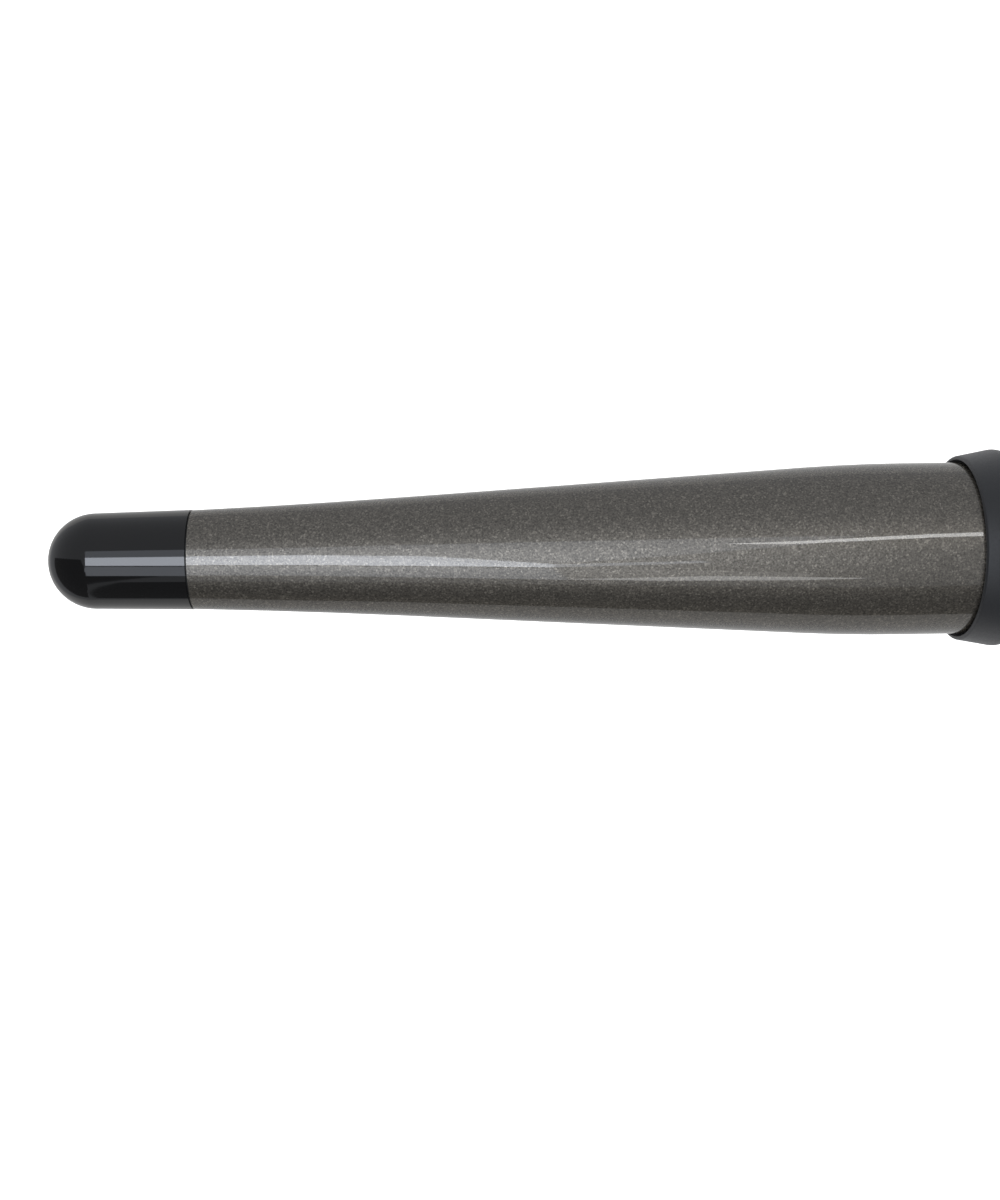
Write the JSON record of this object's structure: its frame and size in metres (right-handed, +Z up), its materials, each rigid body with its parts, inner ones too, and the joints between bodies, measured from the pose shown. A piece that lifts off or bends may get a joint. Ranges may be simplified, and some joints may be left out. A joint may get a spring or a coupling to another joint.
{
  "type": "curling iron",
  "caption": "Tapered curling wand with cool tip, ceramic-coated barrel, guard ring, split handle with buttons and display, fold-out rest stand and cord swivel.",
  "frame": {"origin": "middle of the rest stand's foot, on the surface that the wand stands on", "axes": "+Z up, out of the control side; +X from the cool tip towards the handle's end; +Y to the left of +X seen from above. The wand's own axis dips towards the handle by 2.05 degrees"},
  "size_m": [0.348, 0.0384, 0.0434],
  "materials": {
    "cool_tip": "moulded gloss black heat-proof plastic",
    "tip_seal": "matte black silicone",
    "tip_clip": "spring steel",
    "barrel": "pearl-flake ceramic coat, pewter",
    "heater_shoe_upper": "extruded, plain",
    "heater_shoe_lower": "extruded, plain",
    "ptc_element": "fired PTC ceramic",
    "heater_electrodes": "rolled brass",
    "shoe_springs": "spring steel",
    "thermal_fuse": "plated can",
    "temperature_sensor": "glass bead",
    "barrel_holder": "heat-proof glass-filled plastic",
    "mica_washer": "pressed mica",
    "barrel_screws": "zinc-plated",
    "guard_ring": "satin soft-touch black",
    "handle_upper_shell": "satin soft-touch black",
    "handle_lower_shell": "satin soft-touch black",
    "handle_screws": "blackened steel",
    "control_panel": "polished black",
    "display_window": "smoked clear",
    "power_button": "satin black cap",
    "plus_button": "satin black cap",
    "minus_button": "satin black cap",
    "power_plunger": "moulded",
    "plus_plunger": "moulded",
    "minus_plunger": "moulded",
    "circuit_board": "green laminate",
    "board_screws": "zinc-plated",
    "tact_switches": "moulded",
    "display_module": "moulded",
    "heater_terminal": "moulded",
    "supply_terminal": "moulded",
    "sensor_connector": "moulded",
    "triac": "moulded",
    "controller_chip": "moulded",
    "capacitor": "sleeved can",
    "end_ring": "gloss black",
    "swivel_gland": "satin black",
    "slip_ring_live": "turned brass",
    "slip_ring_neutral": "turned brass",
    "brush_live": "copper graphite",
    "brush_neutral": "copper graphite",
    "brush_holder": "moulded",
    "rest_stand": "satin black",
    "stand_pin": "ground steel",
    "heater_leads": "silicone sleeve",
    "sensor_leads": "silicone sleeve",
    "supply_leads": "silicone sleeve"
  },
  "bodies": {
    "wand": {"cool_tip": "cool_tip", "tip_seal": "tip_seal", "tip_clip": "tip_clip", "barrel": "barrel", "heater_shoe_upper": "heater_shoe_upper", "heater_shoe_lower": "heater_shoe_lower", "ptc_element": "ptc_element", "heater_electrodes": "heater_electrodes", "shoe_springs": "shoe_springs", "thermal_fuse": "thermal_fuse", "temperature_sensor": "temperature_sensor", "barrel_holder": "barrel_holder", "mica_washer": "mica_washer", "barrel_screws": "barrel_screws", "guard_ring": "guard_ring", "handle_upper_shell": "handle_upper_shell", "handle_lower_shell": "handle_lower_shell", "handle_screws": "handle_screws", "control_panel": "control_panel", "display_window": "display_window", "circuit_board": "circuit_board", "board_screws": "board_screws", "tact_switches": "tact_switches", "display_module": "display_module", "heater_terminal": "heater_terminal", "supply_terminal": "supply_terminal", "sensor_connector": "sensor_connector", "triac": "triac", "controller_chip": "controller_chip", "capacitor": "capacitor", "end_ring": "end_ring", "brush_live": "brush_live", "brush_neutral": "brush_neutral", "brush_holder": "brush_holder", "stand_pin": "stand_pin", "heater_leads": "heater_leads", "sensor_leads": "sensor_leads", "supply_leads": "supply_leads"},
    "stand": {"rest_stand": "rest_stand"},
    "power_key": {"power_button": "power_button", "power_plunger": "power_plunger"},
    "plus_key": {"plus_button": "plus_button", "plus_plunger": "plus_plunger"},
    "minus_key": {"minus_button": "minus_button", "minus_plunger": "minus_plunger"},
    "swivel": {"swivel_gland": "swivel_gland", "slip_ring_live": "slip_ring_live", "slip_ring_neutral": "slip_ring_neutral"}
  },
  "joints": [
    {"name": "rest_stand_fold", "type": "hinge", "parent": "wand", "child": "stand", "pos_m": [0.01214, 0, 0.00377], "axis": [0, -1, 0], "range_deg": [0, 165]},
    {"name": "power_button_press", "type": "slide", "parent": "wand", "child": "power_key", "axis": [-0.0357, 0, -0.9994], "range_m": [0, 0.0005], "stiffness_N_per_m": 3000},
    {"name": "plus_button_press", "type": "slide", "parent": "wand", "child": "plus_key", "axis": [-0.0357, 0, -0.9994], "range_m": [0, 0.0005], "stiffness_N_per_m": 3000},
    {"name": "minus_button_press", "type": "slide", "parent": "wand", "child": "minus_key", "axis": [-0.0357, 0, -0.9994], "range_m": [0, 0.0005], "stiffness_N_per_m": 3000},
    {"name": "cord_swivel", "type": "hinge", "parent": "wand", "child": "swivel", "pos_m": [0.1635, 0, 0.01937], "axis": [0.9994, 0, -0.0357], "continuous": true}
  ]
}
